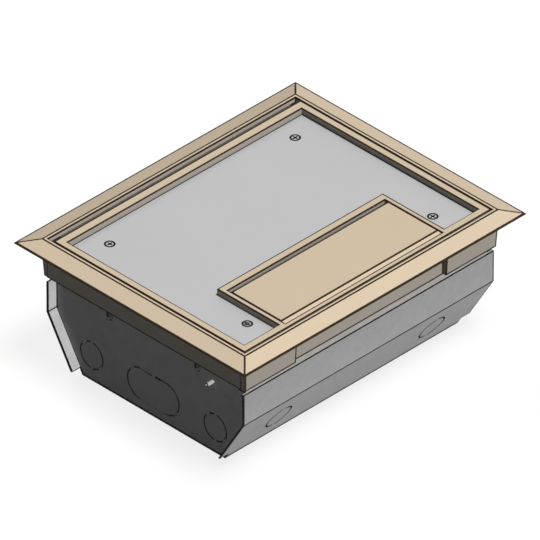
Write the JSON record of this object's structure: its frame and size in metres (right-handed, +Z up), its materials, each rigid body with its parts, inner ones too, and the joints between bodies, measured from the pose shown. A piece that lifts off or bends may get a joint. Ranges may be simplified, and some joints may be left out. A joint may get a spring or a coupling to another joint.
{
  "type": "floor socket box",
  "caption": "Recessed floor box with a levelling trim ring, hinged recessed lid, hinged cable flap, socket outlets and data jacks behind inner covers.",
  "frame": {"origin": "centre of the box's bottom, on the surface that the box stands on", "axes": "+X along the long side, +Y towards the lid and flap hinges, +Z up out of the floor"},
  "size_m": [0.355, 0.291, 0.1367],
  "materials": {
    "galvanised_steel": "galvanised sheet, dull zinc with a faint spangle",
    "compartment_steel": "galvanised sheet, satin",
    "zinc_fastener": "bright zinc plate",
    "earth_screw_steel": "bright zinc plate",
    "tan_painted_casting": "smooth satin tan powder coat",
    "grey_plate_steel": "light grey satin coat",
    "seal_rubber": "black closed-cell strip",
    "dark_hinge_steel": "dark bronze plated",
    "pin_steel": "plain steel",
    "socket_plastic": "smooth ivory moulding",
    "socket_body_plastic": "matt dark moulding",
    "terminal_brass": "plain brass",
    "jack_frame_plastic": "matt black moulding",
    "jack_plastic": "matt white moulding",
    "contact_gold": "gold flashed wire"
  },
  "bodies": {
    "floor_box": {"box_shell": "galvanised_steel", "end_plate_left": "galvanised_steel", "end_plate_right": "galvanised_steel", "corner_brackets": "galvanised_steel", "bracket_weld_nuts": "zinc_fastener", "levelling_screws": "zinc_fastener", "lock_nuts": "zinc_fastener", "earth_screw": "earth_screw_steel", "trim_ring": "tan_painted_casting", "lid_seal": "seal_rubber", "lid_hinge_trim_leaf": "dark_hinge_steel", "trim_leaf_screws": "zinc_fastener", "lid_hinge_pin": "pin_steel", "power_cover": "compartment_steel", "data_cover": "compartment_steel", "cover_locating_screws": "zinc_fastener", "cover_foot_screws": "zinc_fastener", "socket_faces": "socket_plastic", "socket_straps": "zinc_fastener", "socket_bodies": "socket_body_plastic", "socket_terminal_screws": "terminal_brass", "socket_fixing_screws": "zinc_fastener", "jack_frames": "jack_frame_plastic", "data_jacks": "jack_plastic", "jack_contacts": "contact_gold", "jack_frame_screws": "zinc_fastener"},
    "lid": {"lid_frame": "tan_painted_casting", "lid_plate": "grey_plate_steel", "lid_stiffeners": "galvanised_steel", "lid_plate_screws": "zinc_fastener", "lid_plate_nuts": "zinc_fastener", "lid_hinge_lid_leaf": "dark_hinge_steel", "lid_leaf_screws": "zinc_fastener", "flap_seal": "seal_rubber", "flap_hinge_frame_leaf": "dark_hinge_steel", "frame_leaf_screws": "zinc_fastener", "flap_hinge_pin": "pin_steel"},
    "flap": {"flap_plate": "tan_painted_casting", "flap_hinge_flap_leaf": "dark_hinge_steel", "flap_leaf_screws": "zinc_fastener"}
  },
  "joints": [
    {"name": "lid_hinge", "type": "hinge", "parent": "floor_box", "child": "lid", "pos_m": [0, 0.1193, 0.1337], "axis": [-1, 0, 0], "range_deg": [0, 105]},
    {"name": "flap_hinge", "type": "hinge", "parent": "lid", "child": "flap", "pos_m": [0, -0.04905, 0.1346], "axis": [-1, 0, 0], "range_deg": [0, 105]}
  ]
}
